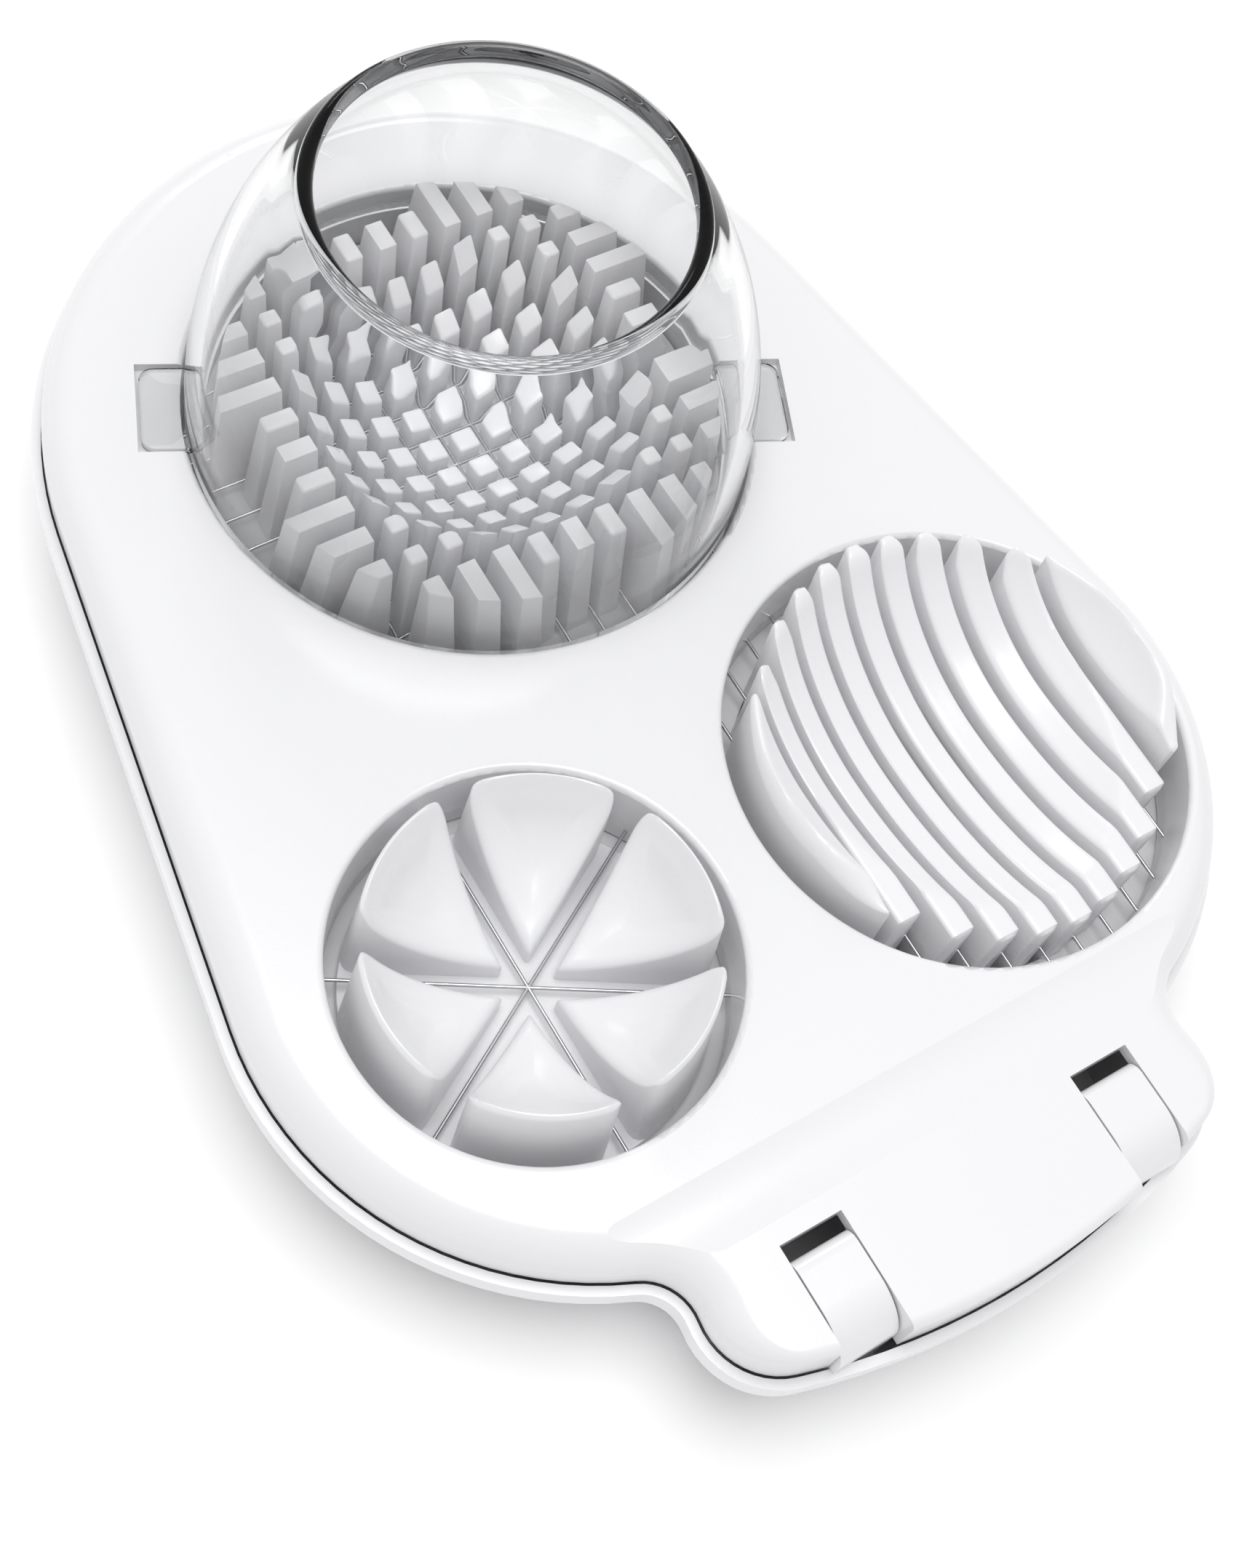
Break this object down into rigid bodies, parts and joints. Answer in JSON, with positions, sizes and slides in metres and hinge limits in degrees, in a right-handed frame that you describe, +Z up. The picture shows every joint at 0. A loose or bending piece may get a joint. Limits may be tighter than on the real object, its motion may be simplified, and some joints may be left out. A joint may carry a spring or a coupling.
{
  "type": "egg slicer",
  "caption": "Hinged egg slicer: a white tray with dicing, slicing and wedging cradles under a wired frame, with a clear domed guard.",
  "frame": {"origin": "on the table, under the middle of the object's bounding box, with the frame closed", "axes": "+X along the hinge, +Y from the hinge to the free round end, +Z up"},
  "size_m": [0.1376, 0.192, 0.069],
  "materials": {
    "tray": "glossy white moulded plastic",
    "cradle": "glossy white moulded plastic",
    "frame": "glossy white moulded plastic",
    "ring": "white moulded plastic",
    "guard": "clear moulded plastic",
    "wire": "drawn stainless wire",
    "pin": "ground steel",
    "screw": "plated steel",
    "foot": "soft grey rubber"
  },
  "bodies": {
    "base": {"base_tray": "tray", "dicer_cradle": "cradle", "slicer_cradle": "cradle", "wedger_cradle": "cradle", "cradle_screws": "screw", "rubber_foot_1": "foot", "rubber_foot_2": "foot", "rubber_foot_3": "foot", "rubber_foot_4": "foot"},
    "frame": {"top_frame": "frame", "hinge_pin_left": "pin", "hinge_pin_right": "pin", "dicer_wire_ring": "ring", "slicer_wire_ring": "ring", "wedger_wire_ring": "ring", "dicer_wires_lengthwise": "wire", "dicer_wires_crosswise": "wire", "slicer_wire_01": "wire", "slicer_wire_02": "wire", "slicer_wire_03": "wire", "slicer_wire_04": "wire", "slicer_wire_05": "wire", "slicer_wire_06": "wire", "slicer_wire_07": "wire", "slicer_wire_08": "wire", "slicer_wire_09": "wire", "slicer_wire_10": "wire", "wedger_wire_1": "wire", "wedger_wire_2": "wire", "wedger_wire_3": "wire"},
    "guard": {"clear_guard": "guard"}
  },
  "joints": [
    {"name": "frame_hinge", "type": "hinge", "parent": "base", "child": "frame", "pos_m": [0, -0.0865, 0.024], "axis": [1, 0, 0], "range_deg": [0, 95]},
    {"name": "guard_lift", "type": "slide", "parent": "frame", "child": "guard", "axis": [0, 0, 1], "range_m": [0, 0.05]}
  ]
}
